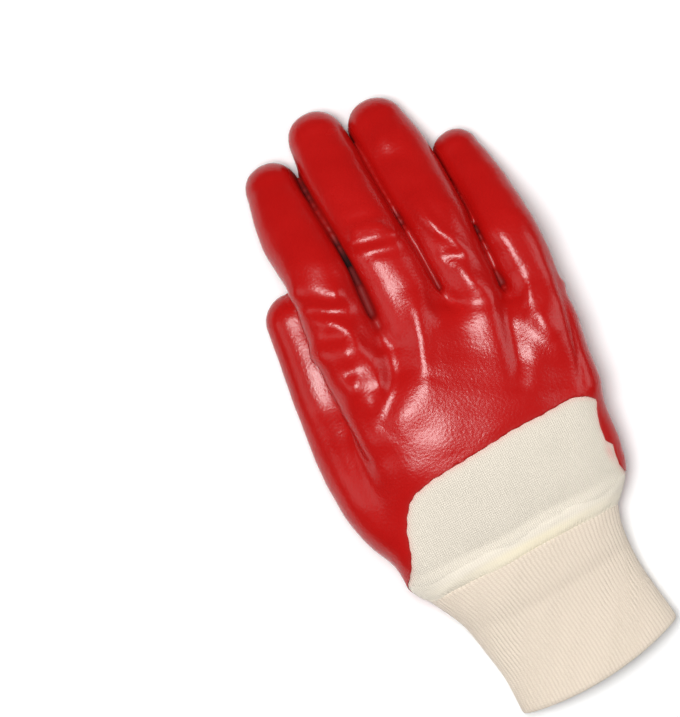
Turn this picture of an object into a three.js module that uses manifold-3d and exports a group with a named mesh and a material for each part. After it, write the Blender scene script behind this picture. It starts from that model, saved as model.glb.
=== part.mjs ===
// A right-hand work glove: a cotton glove dipped in red PVC, with an uncoated knitted back
// and a ribbed knit wrist.
// It lies palm down, fingers towards +Y, thumb towards -X, back of the hand up. Millimetres, +Z up,
// origin on the surface it lies on, below the middle of the glove.
import * as THREE from "three";
import { mergeVertices } from "three/addons/utils/BufferGeometryUtils.js";
import Module from "manifold-3d";

const wasm = await Module();
wasm.setup();

// Walls and clearances
const COATING = 0.9; // PVC over the fabric
const LINER = 1.0; // interlock cotton of the hand
const CUFF_WALL = 2.4; // rib knit of the wrist, folded double
const CLEARANCE = 0.3; // kept between neighbouring pieces
const SKIN = COATING + CLEARANCE; // from the fabric's face out to the coating's face
const WALL = SKIN + LINER; // from the coating's face in to the hollow

// Knit wrist
const CUFF_LENGTH = 58.7; // hem to seam
const HEM_WIDTH = 76;
const HEM_HEIGHT = 22;
const HEM_SHIFT = -4; // middle of the hem, across the hand
const HEM_SINK = 0.8; // how far the soft underside is pressed flat where it lies
const HEM_BOW = 5; // the hem's middle hangs out further than its sides
const HEM_SLANT = 3; // the hem reaches further up on the little finger's side
const HEM_ROUND = 1.4; // folded edge
const RIB_COUNT = 54;
const RIB_DEPTH = 0.8;
const WRIST_WIDTH = 90;
const WRIST_HEIGHT = 27;
const WRIST_SHIFT = -9.5;
const WRIST_RISE = 3; // underside of the fabric at the seam, above the surface

// Rolled seam between the wrist and the hand
const SEAM_WIDTH = 8.5;
const SEAM_SWELL = 1.6;

// Hand
const PALM_LENGTH = 105; // seam to knuckles
const PALM_HEIGHT = 36;
const KNUCKLE_SHIFT = 5;
const KNUCKLE_RISE = 15.5; // underside of the palm at the knuckles
const KNUCKLE_LEAN = Math.tan(THREE.MathUtils.degToRad(20)); // the line of the finger roots, in plan
const KNUCKLE_ROLL = Math.tan(THREE.MathUtils.degToRad(3)); // the little finger's side lies lower
const FULLNESS = 2.3; // 2 is an ellipse, more is boxier
const LINER_REACH = 60; // how far the cotton is built up the hand, from the seam

// Fingers, from the thumb's side, as shares of the sizes below. knuckle is where a finger leaves
// the hand, as a share of the palm's length from the seam; heading is in degrees.
const FINGER_GAP = 1.2;
const FINGER_LENGTH = 101;
const FINGER_WIDTH = 26.6;
const FINGER_DEPTH = 26;
const FINGERS = [
  { name: "index", wide: 1.03, deep: 1, knuckle: 1.03, long: 0.88, heading: 0.5 },
  { name: "middle", wide: 1, deep: 1, knuckle: 1.02, long: 1, heading: 0.4 },
  { name: "ring", wide: 0.985, deep: 0.96, knuckle: 0.953, long: 1, heading: -0.6 },
  { name: "little", wide: 0.872, deep: 0.865, knuckle: 0.838, long: 0.84, heading: -1.6 },
].map(({ name, wide, deep, knuckle, long, heading }) => ({
  name,
  width: wide * FINGER_WIDTH,
  depth: deep * FINGER_DEPTH,
  length: long * FINGER_LENGTH,
  knuckle: knuckle * PALM_LENGTH,
  heading,
}));
const FINGER_ROOT = 26; // length of a finger's form that lies inside the hand
const PAD_PRESS = 2.2; // how much lower than its own half depth a fingertip's middle is set
const PALM_WIDTH =
  FINGERS.reduce((sum, f) => sum + f.width, 0) + FINGER_GAP * (FINGERS.length - 1);

// Thumb, opposed: it lies beside and below the palm
const THUMB_LENGTH = 136; // from its root at the seam
const THUMB_WIDTH = 25;

// Shares of each span's length, width and height
const CUFF_SECTIONS = [
  { along: -0.1, spread: 0, lift: -1, swell: 0 },
  { along: 0.0, spread: 0, lift: -1, swell: 0 },
  { along: 0.3, spread: 0.02, lift: -1, swell: 0.1 },
  { along: 0.5, spread: 0.08, lift: -0.95, swell: 0.3 },
  { along: 0.62, spread: 0.2, lift: -0.3, swell: 0.45 },
  { along: 0.75, spread: 0.42, lift: 0.5, swell: 0.62 },
  { along: 1.0, spread: 1, lift: 1, swell: 1 },
];
const HAND_SECTIONS = [
  {
    along: 0.0,
    wide: (WRIST_WIDTH + 2 * SKIN) / PALM_WIDTH,
    deep: (WRIST_HEIGHT + 2 * SKIN) / PALM_HEIGHT,
    sway: 0,
    lift: 0,
  },
  { along: 0.09, wide: 0.93, deep: 0.84, sway: 0.13, lift: 0.05 },
  { along: 0.2, wide: 0.955, deep: 0.92, sway: 0.36, lift: 0.17 },
  { along: 0.3, wide: 0.95, deep: 0.98, sway: 0.52, lift: 0.28 },
  { along: 0.4, wide: 0.945, deep: 1.01, sway: 0.62, lift: 0.38 },
  { along: 0.55, wide: 0.95, deep: 1.03, sway: 0.72, lift: 0.52 },
  { along: 0.7, wide: 0.97, deep: 1.02, sway: 0.82, lift: 0.68 },
  { along: 0.85, wide: 0.985, deep: 0.95, sway: 0.92, lift: 0.85 },
  { along: 0.95, wide: 0.97, deep: 0.86, sway: 0.97, lift: 1 },
  { along: 1.0, wide: 0.93, deep: 0.74, sway: 1, lift: 1.18 },
  { along: 1.03, wide: 0.86, deep: 0.55, sway: 1, lift: 1.42 },
  { along: 1.05, wide: 0.76, deep: 0.3, sway: 1, lift: 1.72 },
];
const FINGER_SECTIONS = [
  { along: -0.3, wide: 0.4, deep: 0.6, curl: -0.04 },
  { along: -0.12, wide: 0.86, deep: 0.94, curl: -0.02 },
  { along: 0.0, wide: 1.0, deep: 1.06, curl: 0.0 },
  { along: 0.16, wide: 0.985, deep: 0.98, curl: 0.05 },
  { along: 0.3, wide: 0.99, deep: 0.97, curl: 0.14 },
  { along: 0.42, wide: 1.02, deep: 1.06, curl: 0.25 },
  { along: 0.54, wide: 0.985, deep: 0.95, curl: 0.42 },
  { along: 0.66, wide: 0.97, deep: 0.92, curl: 0.62 },
  { along: 0.78, wide: 0.95, deep: 0.9, curl: 0.81 },
  { along: 0.88, wide: 0.92, deep: 0.86, curl: 0.94 },
  { along: 1.0, wide: 0.88, deep: 0.82, curl: 1.0 },
];
const THUMB_SECTIONS = [
  { along: 0.0, out: -0.42, wide: 0.96, deep: 0.9, high: 0.66 },
  { along: 0.15, out: -0.1, wide: 1.36, deep: 1.22, high: 0.71 },
  { along: 0.29, out: 0.06, wide: 1.56, deep: 1.3, high: 0.7 },
  { along: 0.4, out: 0.14, wide: 1.48, deep: 1.2, high: 0.64 },
  { along: 0.51, out: 0.17, wide: 1.34, deep: 1.04, high: 0.54 },
  { along: 0.62, out: 0.18, wide: 1.16, deep: 0.92, high: 0.45 },
  { along: 0.74, out: 0.13, wide: 1.08, deep: 0.9, high: 0.43 },
  { along: 0.86, out: 0.08, wide: 1.0, deep: 0.82, high: 0.39 },
  { along: 1.0, out: 0.02, wide: 0.92, deep: 0.76, high: 0.36 },
];

// Lower edge of the coating round the hand, as shares of the palm's length from the seam:
// turn 0 is the little finger's side, 0.25 the back, 0.5 the thumb's side
const COATING_EDGE = [
  { turn: 0.0, rise: 0.067 },
  { turn: 0.02, rise: 0.086 },
  { turn: 0.04, rise: 0.124 },
  { turn: 0.069, rise: 0.2 },
  { turn: 0.079, rise: 0.295 },
  { turn: 0.084, rise: 0.41 },
  { turn: 0.097, rise: 0.448 },
  { turn: 0.114, rise: 0.462 },
  { turn: 0.25, rise: 0.462 },
  { turn: 0.339, rise: 0.448 },
  { turn: 0.369, rise: 0.438 },
  { turn: 0.399, rise: 0.41 },
  { turn: 0.425, rise: 0.34 },
  { turn: 0.435, rise: 0.22 },
  { turn: 0.46, rise: 0.16 },
  { turn: 0.5, rise: 0.105 },
  { turn: 0.54, rise: -0.01 },
  { turn: 0.58, rise: -0.086 },
  { turn: 0.65, rise: -0.133 },
  { turn: 0.7, rise: -0.148 },
  { turn: 0.78, rise: -0.124 },
  { turn: 0.88, rise: -0.086 },
  { turn: 0.95, rise: -0.02 },
  { turn: 1.0, rise: 0.067 },
];

// Folds on the back of the hand: middle, length and width as shares of the palm's plan, height as a share
// of its height, heading in degrees from the fingers
const FOLDS = [
  { x: -0.13, y: 0.8, heading: -24, length: 0.34, width: 0.075, height: 0.06 }, // ridge down from the middle finger
  { x: -0.36, y: 0.93, heading: 70, length: 0.12, width: 0.06, height: 0.05 }, // index knuckle
  { x: -0.36, y: 0.78, heading: 60, length: 0.14, width: 0.06, height: 0.04 },
  { x: -0.24, y: 0.86, heading: -8, length: 0.2, width: 0.06, height: -0.06 }, // hollow beside the index knuckle
  { x: 0.06, y: 0.92, heading: 0, length: 0.16, width: 0.05, height: -0.045 }, // between middle and ring
  { x: 0.3, y: 0.8, heading: 4, length: 0.26, width: 0.05, height: -0.05 }, // between ring and little
];

const RED = 0xc11410;
const CREAM = 0xe9e2d2;

// A table's columns as one smooth curve of a share
function track(rows, ...columns) {
  const values = rows.flatMap((row) => columns.map((column) => row[column]));
  const curve = new THREE.CubicInterpolant(rows.map((row) => row.along), values, columns.length);
  return (share) => [...curve.evaluate(share)];
}
const cuffTrack = track(CUFF_SECTIONS, "spread", "lift", "swell");
const handTrack = track(HAND_SECTIONS, "wide", "deep", "sway", "lift");
const fingerTrack = track(FINGER_SECTIONS, "wide", "deep", "curl");
const thumbTrack = track(THUMB_SECTIONS, "out", "wide", "deep", "high");
const mix = THREE.MathUtils.lerp;

// The fabric's section across the wrist at y, from the hem
function cuffSection(y) {
  const [spread, lift, swell] = cuffTrack(y / CUFF_LENGTH);
  const underside = lift < 0 ? lift * HEM_SINK : lift * WRIST_RISE;
  const halfHeight = mix(HEM_HEIGHT, WRIST_HEIGHT, swell) / 2;
  return {
    y,
    x: mix(HEM_SHIFT, WRIST_SHIFT, spread),
    z: underside + halfHeight,
    halfWidth: mix(HEM_WIDTH, WRIST_WIDTH, spread) / 2,
    halfHeight,
    lean: 0,
    roll: 0,
    hem: Math.max(0, 1 - y / CUFF_LENGTH),
  };
}

// The coated hand's section at y; below the seam it is the wrist's own, with the coating over it
function handSection(y, swell = SEAM_SWELL) {
  if (y < CUFF_LENGTH) {
    const cuff = cuffSection(y);
    return { ...cuff, halfWidth: cuff.halfWidth + SKIN, halfHeight: cuff.halfHeight + SKIN };
  }
  const share = (y - CUFF_LENGTH) / PALM_LENGTH;
  const [wide, deep, sway, lift] = handTrack(share);
  const seamShare = Math.min(1, (y - CUFF_LENGTH) / SEAM_WIDTH);
  const roll = swell * Math.sin(Math.PI * seamShare);
  const bare = (deep * PALM_HEIGHT) / 2;
  return {
    y,
    x: mix(WRIST_SHIFT, KNUCKLE_SHIFT, sway),
    z: mix(WRIST_RISE - SKIN, KNUCKLE_RISE, lift) + bare,
    halfWidth: (wide * PALM_WIDTH) / 2 + roll,
    halfHeight: bare + roll,
    lean: KNUCKLE_LEAN * share ** 3,
    roll: KNUCKLE_ROLL * Math.min(1, share),
  };
}

// Height that the folds add to the back of the hand at a point
function foldHeight(x, y) {
  return FOLDS.reduce((sum, fold) => {
    const heading = THREE.MathUtils.degToRad(fold.heading);
    const dx = (x - KNUCKLE_SHIFT) / PALM_WIDTH - fold.x;
    const dy = (y - CUFF_LENGTH) / PALM_LENGTH - fold.y;
    const across = (dx * Math.cos(heading) + dy * Math.sin(heading)) / fold.width;
    const down = (dy * Math.cos(heading) - dx * Math.sin(heading)) / fold.length;
    return sum + PALM_HEIGHT * fold.height * Math.exp(-across * across - 4 * down * down);
  }, 0);
}

// Points round a section, set in from its face
function ring(section, inset, count) {
  const power = 2 / FULLNESS;
  return Array.from({ length: count }, (_, i) => {
    const angle = (2 * Math.PI * i) / count;
    const [c, s] = [Math.cos(angle), Math.sin(angle)];
    const dx = (section.halfWidth - inset) * Math.sign(c) * Math.abs(c) ** power;
    const dz = (section.halfHeight - inset) * Math.sign(s) * Math.abs(s) ** power;
    const x = section.x + dx;
    const side = dx / section.halfWidth;
    const hem = (section.hem ?? 0) * (HEM_SLANT * side - HEM_BOW * (1 - side * side));
    const y = section.y - section.lean * dx + hem;
    const onBack = Math.max(0, s);
    return new THREE.Vector3(x, y, section.z + dz - section.roll * dx + onBack * foldHeight(x, y));
  });
}

// A closed body through rings of equally many points, with flat or pointed ends
function loft(rings) {
  const count = rings[0].length;
  const middle = (points) =>
    points.reduce((sum, p) => sum.add(p), new THREE.Vector3()).divideScalar(points.length);
  const vertices = [...rings.flat(), middle(rings[0]), middle(rings.at(-1))];
  const index = [];
  const start = rings.length * count;
  for (let i = 0; i < count; i++) {
    const next = (i + 1) % count;
    for (let k = 0; k < rings.length - 1; k++) {
      const [a, b, c, d] = [k * count + i, (k + 1) * count + i, k * count + next, (k + 1) * count + next];
      index.push(a, b, c, c, b, d);
    }
    const last = (rings.length - 1) * count;
    index.push(start, i, next, start + 1, last + next, last + i);
  }
  return new THREE.BufferGeometry().setFromPoints(vertices).setIndex(index);
}

function solid(geometry) {
  const bare = mergeVertices(geometry.clone().deleteAttribute("normal").deleteAttribute("uv"), 1e-4);
  const vertProperties = new Float32Array(bare.attributes.position.array);
  return new wasm.Manifold(
    new wasm.Mesh({ numProp: 3, vertProperties, triVerts: new Uint32Array(bare.index.array) }),
  );
}

function mesh(name, manifold, material) {
  const { numProp, vertProperties, triVerts } = manifold.getMesh();
  const data = new THREE.InterleavedBuffer(vertProperties, numProp);
  const geometry = new THREE.BufferGeometry()
    .setAttribute("position", new THREE.InterleavedBufferAttribute(data, 3, 0))
    .setIndex(new THREE.BufferAttribute(triVerts, 1));
  const made = new THREE.Mesh(geometry, material);
  made.name = name;
  return made;
}

// Everything between two heights along the hand
function slab(from, to) {
  const reach = 4 * PALM_WIDTH;
  const box = new THREE.BoxGeometry(reach, to - from, reach).translate(0, (from + to) / 2, 0);
  return solid(box);
}

// Everything above the surface it lies on, set in from it
function aboveSurface(inset) {
  const reach = 8 * PALM_WIDTH;
  return solid(new THREE.BoxGeometry(reach, reach, reach).translate(0, 0, reach / 2 + inset));
}

// Evenly spread stations, with the ends
const stations = (from, to, steps) =>
  Array.from({ length: steps + 1 }, (_, i) => mix(from, to, i / steps));

// The palm and back of the hand, from under the coating's skirt to the webs
function palmForm(inset, swell, count) {
  const from = CUFF_LENGTH - 0.25 * PALM_LENGTH;
  const end = CUFF_LENGTH + SEAM_WIDTH;
  const shares = [0.19, 0.31, 0.43, 0.55, 0.65, 0.74, 0.83, 0.91, 0.98, 1.03, 1.05];
  const heights = [
    ...stations(from, CUFF_LENGTH - 0.01, 2),
    ...stations(CUFF_LENGTH, end, 4),
    ...shares.map((share) => CUFF_LENGTH + share * PALM_LENGTH),
  ];
  const last = heights.length - 1;
  return solid(
    loft(
      heights.map((y, i) => {
        const drawn = { ...handSection(y, swell) };
        if (i > last - 4) drawn.y -= inset;
        return ring(drawn, Math.min(inset, 0.8 * drawn.halfHeight), count);
      }),
    ),
  );
}

// A tube with a round end along a path of { centre, halfWidth, halfDepth }
function tube(pathAt, from, length, endRadius, inset, count, steps) {
  const bend = 1 - endRadius / length;
  const round = stations(0, Math.PI / 2, 4).slice(1, -1);
  const shares = [
    ...stations(from, bend, steps),
    ...round.map((angle) => mix(bend, 1 - inset / length, Math.sin(angle))),
    1 - inset / length - 1e-4,
  ];
  const taper = [...Array(steps + 1).fill(1), ...round.map((angle) => Math.cos(angle)), 0.12];
  return solid(
    loft(
      shares.map((share, i) => {
        const { centre, halfWidth, halfDepth } = pathAt(share);
        const ahead = pathAt(share + 0.01).centre.sub(pathAt(share - 0.01).centre).normalize();
        const side = new THREE.Vector3(ahead.y, -ahead.x, 0).normalize();
        const up = new THREE.Vector3().crossVectors(side, ahead);
        return Array.from({ length: count }, (_, j) => {
          const angle = (2 * Math.PI * j) / count;
          return centre
            .clone()
            .addScaledVector(side, taper[i] * (halfWidth - inset) * Math.cos(angle))
            .addScaledVector(up, taper[i] * (halfDepth - inset) * Math.sin(angle));
        });
      }),
    ),
  );
}

// Where each finger leaves the hand
function fingerPath(finger) {
  const before = FINGERS.slice(0, FINGERS.indexOf(finger));
  const left = before.reduce((sum, f) => sum + f.width + FINGER_GAP, -PALM_WIDTH / 2);
  const offset = left + finger.width / 2;
  const heading = Math.tan(THREE.MathUtils.degToRad(finger.heading));
  const root = CUFF_LENGTH + finger.knuckle;
  const palm = handSection(CUFF_LENGTH + 0.9 * PALM_LENGTH);
  const high = palm.z - KNUCKLE_ROLL * offset;
  const low = (finger.depth * FINGER_SECTIONS.at(-1).deep) / 2 - PAD_PRESS;
  return (share) => {
    const [wide, deep, curl] = fingerTrack(share);
    return {
      centre: new THREE.Vector3(
        KNUCKLE_SHIFT + offset + share * finger.length * heading,
        root + share * finger.length,
        mix(high, low, curl),
      ),
      halfWidth: (wide * finger.width) / 2,
      halfDepth: (deep * finger.depth) / 2,
    };
  };
}

function thumbPath(share) {
  const [out, wide, deep, high] = thumbTrack(share);
  const edge = KNUCKLE_SHIFT - PALM_WIDTH / 2;
  return {
    centre: new THREE.Vector3(
      edge - out * THUMB_WIDTH,
      CUFF_LENGTH + SEAM_WIDTH + share * THUMB_LENGTH,
      high * THUMB_WIDTH,
    ),
    halfWidth: (wide * THUMB_WIDTH) / 2,
    halfDepth: (deep * THUMB_WIDTH) / 2,
  };
}

// The whole hand, set in from the coating's outer face
function handForm(inset, fine) {
  const swell = inset < WALL ? SEAM_SWELL : 0;
  const [palmCount, fingerCount, fingerSteps] = fine ? [36, 14, 8] : [28, 10, 7];
  const fingers = FINGERS.map((finger) =>
    tube(
      fingerPath(finger),
      -FINGER_ROOT / finger.length,
      finger.length,
      finger.width / 2,
      inset,
      fingerCount,
      fingerSteps,
    ),
  );
  const thumb = tube(thumbPath, 0, THUMB_LENGTH, THUMB_WIDTH / 2, inset, fingerCount, fingerSteps);
  const palm = palmForm(inset, swell, palmCount);
  return [...fingers, thumb].reduce((sum, f) => sum.add(f), palm).intersect(aboveSurface(inset));
}

// Height of the coating's lower edge at a turn round the hand
function edgeHeight(turn) {
  const after = COATING_EDGE.findIndex((row) => row.turn >= turn);
  if (after <= 0) {
    return CUFF_LENGTH + COATING_EDGE[0].rise * PALM_LENGTH;
  }
  const [a, b] = [COATING_EDGE[after - 1], COATING_EDGE[after]];
  const share = (turn - a.turn) / (b.turn - a.turn);
  return CUFF_LENGTH + mix(a.rise, b.rise, share) * PALM_LENGTH;
}

// What the coating leaves bare: everything behind its lower edge
function bareSide() {
  const count = 96;
  const from = CUFF_LENGTH - 0.35 * PALM_LENGTH;
  const rim = (scale, heightAt) =>
    Array.from({ length: count }, (_, i) => {
      const y = heightAt(i / count);
      const hand = handSection(y, 0);
      const halfWidth = hand.halfWidth * scale;
      const halfHeight = hand.halfHeight * scale;
      return ring({ ...hand, halfWidth, halfHeight, lean: 0, roll: 0, hem: 0 }, 0, count)[i];
    });
  const behind = () => from;
  return solid(
    loft([rim(1.45, behind), rim(1.45, edgeHeight), rim(0.6, edgeHeight), rim(0.2, behind)]),
  );
}

const red = new THREE.MeshStandardMaterial({ color: RED, roughness: 0.32, metalness: 0 });
const cream = new THREE.MeshStandardMaterial({ color: CREAM, roughness: 0.95, metalness: 0 });

const seamEnd = CUFF_LENGTH + CLEARANCE + SEAM_WIDTH;
const linerEnd = CUFF_LENGTH + LINER_REACH;
const hollow = handForm(WALL, false);
const fabric = handForm(SKIN, false).subtract(hollow);

function pvcCoating() {
  const pocket = handForm(COATING, false).intersect(slab(0, linerEnd + CLEARANCE));
  return handForm(0, true).subtract(pocket.add(hollow)).subtract(bareSide());
}

function knitLiner() {
  return fabric.intersect(slab(seamEnd + CLEARANCE, linerEnd));
}

function wristSeam() {
  return fabric.intersect(slab(CUFF_LENGTH + CLEARANCE, seamEnd));
}

// Ribbed tube, folded over at the hem and pressed flat underneath
function knitWrist() {
  const face = (y, inset) => {
    const section = cuffSection(y);
    const crests = ring(section, inset, 2 * RIB_COUNT);
    const valleys = ring(section, inset + RIB_DEPTH, 2 * RIB_COUNT);
    return crests.map((point, i) => (i % 2 ? valleys[i] : point));
  };
  const outside = [
    face(0, HEM_ROUND),
    face(HEM_ROUND / 3, HEM_ROUND / 3),
    face(HEM_ROUND, 0),
    ...stations(0.3, 1, 4).map((share) => face(share * CUFF_LENGTH, 0)),
  ];
  const inside = stations(-0.05, 1.05, 5).map((share) =>
    ring(cuffSection(share * CUFF_LENGTH), CUFF_WALL, RIB_COUNT),
  );
  const bore = solid(loft(inside)).intersect(aboveSurface(CUFF_WALL));
  return solid(loft(outside)).intersect(aboveSurface(0)).subtract(bore);
}

const group = new THREE.Group();
group.add(
  mesh("pvc_coating", pvcCoating(), red),
  mesh("knit_liner", knitLiner(), cream),
  mesh("wrist_seam", wristSeam(), cream),
  mesh("knit_wrist", knitWrist(), cream),
);

// The origin goes on the surface, below the middle of the glove
const bounds = new THREE.Box3().setFromObject(group);
const middle = bounds.getCenter(new THREE.Vector3());
group.children.forEach((child) => child.geometry.translate(-middle.x, -middle.y, -bounds.min.z));

export default group;
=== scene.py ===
import math

import bpy
import numpy as np
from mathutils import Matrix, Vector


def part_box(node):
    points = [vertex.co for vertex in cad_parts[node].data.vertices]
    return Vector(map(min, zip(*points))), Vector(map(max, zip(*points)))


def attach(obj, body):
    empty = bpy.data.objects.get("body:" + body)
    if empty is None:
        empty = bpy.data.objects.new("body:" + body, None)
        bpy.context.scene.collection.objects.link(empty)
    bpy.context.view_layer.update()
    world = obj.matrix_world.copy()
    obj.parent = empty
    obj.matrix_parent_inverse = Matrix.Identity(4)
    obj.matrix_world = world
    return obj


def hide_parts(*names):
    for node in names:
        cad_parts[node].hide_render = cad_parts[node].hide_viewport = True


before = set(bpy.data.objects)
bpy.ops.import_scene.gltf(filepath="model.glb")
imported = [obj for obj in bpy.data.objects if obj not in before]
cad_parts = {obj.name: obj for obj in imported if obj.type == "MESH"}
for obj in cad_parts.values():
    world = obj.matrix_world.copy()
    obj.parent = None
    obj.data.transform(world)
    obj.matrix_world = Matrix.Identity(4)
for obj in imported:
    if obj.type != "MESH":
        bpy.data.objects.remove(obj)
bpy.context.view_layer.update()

# Floor, camera and light: the glove lies on a pale sheet and is seen from straight above, turned so
# that its fingers point up and to the left. A soft light stands beside the camera, and two wide dim
# ones fill the sides.
SEAM_LEFT = -57.03
SEAM_START = 59.0
seam_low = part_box("wrist_seam")[0]
MEASURED = np.array([SEAM_LEFT - seam_low[0] * 1000, SEAM_START - seam_low[1] * 1000, 0.0])


def placed(points):
    """Millimetres measured from the hem to metres in the frame."""
    return (np.asarray(points, float) - MEASURED) / 1000


CAMERA_TURN = math.radians(-28)
CAMERA_HEIGHT = 1.3
PICTURE_HEIGHT = 0.303
PICTURE_MIDDLE = [-39.9, 167.9, 25.0]
SENSOR_WIDTH = 36
FLOOR_REACH = 3
picture_middle = placed(PICTURE_MIDDLE)

camera = bpy.data.objects.new("camera", bpy.data.cameras.new("camera"))
bpy.context.scene.collection.objects.link(camera)
camera.location = (picture_middle[0], picture_middle[1], CAMERA_HEIGHT)
camera.rotation_euler = (0, 0, CAMERA_TURN)
camera.data.sensor_width = SENSOR_WIDTH
camera.data.lens = SENSOR_WIDTH * (CAMERA_HEIGHT - picture_middle[2]) / PICTURE_HEIGHT
camera.data.clip_end = 20
bpy.context.scene.camera = camera

floor_mesh = bpy.data.meshes.new("floor")
floor_corners = [(FLOOR_REACH * a, FLOOR_REACH * b, 0) for a, b in ((-1, -1), (1, -1), (1, 1), (-1, 1))]
floor_mesh.from_pydata(floor_corners, [], [(0, 1, 2, 3)])
floor = bpy.data.objects.new("floor", floor_mesh)
bpy.context.scene.collection.objects.link(floor)
floor_material = bpy.data.materials.new("pale_sheet")
floor_material.use_nodes = True
sheet_nodes = floor_material.node_tree.nodes
sheet_shader = sheet_nodes["Principled BSDF"]
sheet_shader.inputs["Roughness"].default_value = 0.9
sheet_grain = sheet_nodes.new("ShaderNodeTexNoise")
sheet_grain.inputs["Scale"].default_value = 6
sheet_tint = sheet_nodes.new("ShaderNodeMix")
sheet_tint.data_type = "RGBA"
sheet_tint.inputs["A"].default_value = (0.94, 0.94, 0.94, 1)
sheet_tint.inputs["B"].default_value = (0.97, 0.97, 0.97, 1)
floor_material.node_tree.links.new(sheet_grain.outputs["Fac"], sheet_tint.inputs["Factor"])
floor_material.node_tree.links.new(sheet_tint.outputs["Result"], sheet_shader.inputs["Base Color"])
floor_mesh.materials.append(floor_material)

world = bpy.data.worlds.new("studio")
world.use_nodes = True
world.node_tree.nodes["Background"].inputs["Color"].default_value = (1, 1, 1, 1)
world.node_tree.nodes["Background"].inputs["Strength"].default_value = 0.08
bpy.context.scene.world = world
bpy.context.scene.view_settings.view_transform = "Standard"

LIGHTS = [
    {"name": "key", "right": -0.18, "up": 0.02, "height": 1.2, "size": 0.52, "power": 14.5},
    {"name": "fill_left", "right": -1.2, "up": -0.3, "height": 1.0, "size": 0.8, "power": 2.2},
    {"name": "fill_right", "right": 1.2, "up": 0.4, "height": 1.0, "size": 0.8, "power": 4.2},
]
across = np.array([math.cos(CAMERA_TURN), math.sin(CAMERA_TURN)])
upward = np.array([-math.sin(CAMERA_TURN), math.cos(CAMERA_TURN)])
for lamp in LIGHTS:
    data = bpy.data.lights.new(lamp["name"], "AREA")
    data.shape = "DISK"
    data.size = lamp["size"]
    data.energy = lamp["power"]
    light = bpy.data.objects.new(lamp["name"], data)
    bpy.context.scene.collection.objects.link(light)
    spot = across * lamp["right"] + upward * lamp["up"]
    light.location = (spot[0], spot[1], lamp["height"])
    aim = -np.array([spot[0], spot[1], lamp["height"]])
    light.rotation_euler = (math.acos(-aim[2] / np.linalg.norm(aim)), 0, math.atan2(-aim[0], aim[1]))

# Knit back: the hand of the glove is sewn from cream interlock cotton, and the dip leaves its back
# bare above the seam. The whole hand is worked out here as one form, because cotton, seam and
# coating all follow it: palm, four fingers that touch side by side, and a thumb beside and below.
SKIN = 1.2
CUFF_LENGTH = 58.7
SEAM_WIDTH = 8.5
PALM_LENGTH = 105
PALM_HEIGHT = 36
PALM_WIDTH = 106.98
KNUCKLE_SHIFT = 5
SEAM_SHIFT = -9.5
HEEL_UNDERSIDE = 1.8
KNUCKLE_UNDERSIDE = 15.5
KNUCKLE_LEAN = 20
INDEX_LEAN_SHARE = 0.2
HAND_ROLL = 5
CUFF_HEIGHT = 22
CUFF_SWELL = 5
CUFF_PRESS = 0.8
CUFF_RAISE = 3.0
HEM_SLANT = 3
HEM_CURVE = 5
FULLNESS = 2.3
TUBE_FULLNESS = 2.25
CUFF_SECTIONS = {
    "along": [-0.1, 0.0, 0.3, 0.5, 0.62, 0.75, 0.86, 1.0],
    "sway": [-3.2, -3.2, -4.3, -5.9, -6.6, -7.4, -8.5, -9.5],
    "wide": [39.0, 39.0, 38.0, 38.4, 39.0, 40.1, 41.9, 45.25],
    "lift": [-1, -1, -1, -0.95, -0.3, 0.5, 0.8, 1],
    "swell": [0, 0, 0.1, 0.3, 0.45, 0.62, 0.78, 1],
}
HAND_SECTIONS = {
    "along": [0.0, 0.09, 0.2, 0.3, 0.4, 0.55, 0.7, 0.85, 0.95, 1.0, 1.03, 1.05],
    "wide": [0.872, 0.985, 0.985, 0.965, 0.955, 0.96, 0.962, 0.95, 0.9, 0.84, 0.78, 0.7],
    "deep": [0.817, 0.845, 0.913, 0.974, 1.022, 1.005, 0.919, 0.767, 0.597, 0.458, 0.311, 0.156],
    "sway": [0, 0.13, 0.36, 0.52, 0.62, 0.72, 0.82, 0.92, 0.97, 1, 1, 1],
    "lift": [0, 0.05, 0.17, 0.28, 0.38, 0.52, 0.68, 0.85, 1, 1.18, 1.42, 1.72],
}
FINGER_SECTIONS = {
    "along": [-0.4, -0.2, 0.0, 0.16, 0.3, 0.42, 0.54, 0.66, 0.78, 0.88, 1.0],
    "deep": [0.55, 0.86, 1.04, 0.98, 1.0, 1.06, 0.98, 0.93, 0.9, 0.86, 0.82],
    "curl": [0.0, -0.01, 0.0, 0.03, 0.045, 0.1, 0.27, 0.5, 0.73, 0.9, 1.0],
}
FINGERS = [
    {"name": "index", "web": 4, "tip": 256.5, "depth": 26.0, "root": 166.85, "length": 88.9,
     "along": [140, 170, 185, 200, 212, 222, 235, 244],
     "left": [-50, -49.5, -48, -46.2, -46.6, -47.2, -45.4, -43.0],
     "right": [-20, -19.5, -19, -18.2, -18.0, -18.2, -18.8, -19.6]},
    {"name": "middle", "web": 10, "tip": 267.3, "depth": 26.0, "root": 165.8, "length": 101.0,
     "along": [140, 165, 180, 200, 212, 225, 240, 255],
     "left": [-21, -20.6, -19.8, -18.8, -18.8, -19.2, -19.2, -17.2],
     "right": [11.4, 11.6, 11.0, 10.3, 9.2, 8.8, 8.8, 7.4]},
    {"name": "ring", "web": 12, "tip": 260.6, "depth": 25.0, "root": 158.8, "length": 101.0,
     "along": [140, 165, 180, 200, 212, 225, 238, 248],
     "left": [10, 10.4, 9.8, 9.2, 8.2, 7.6, 7.4, 8.4],
     "right": [35, 35.2, 35.8, 36.6, 36.6, 36.4, 35.6, 33.4]},
    {"name": "little", "web": 9, "tip": 232.4, "depth": 22.5, "root": 146.7, "length": 84.8,
     "along": [125, 150, 165, 180, 195, 205, 215, 221],
     "left": [32, 33.4, 34.4, 35.2, 35.8, 35.8, 35.6, 35.4],
     "right": [54, 57.6, 59.4, 60.0, 59.6, 58.8, 57.2, 55.8]},
]
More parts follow.
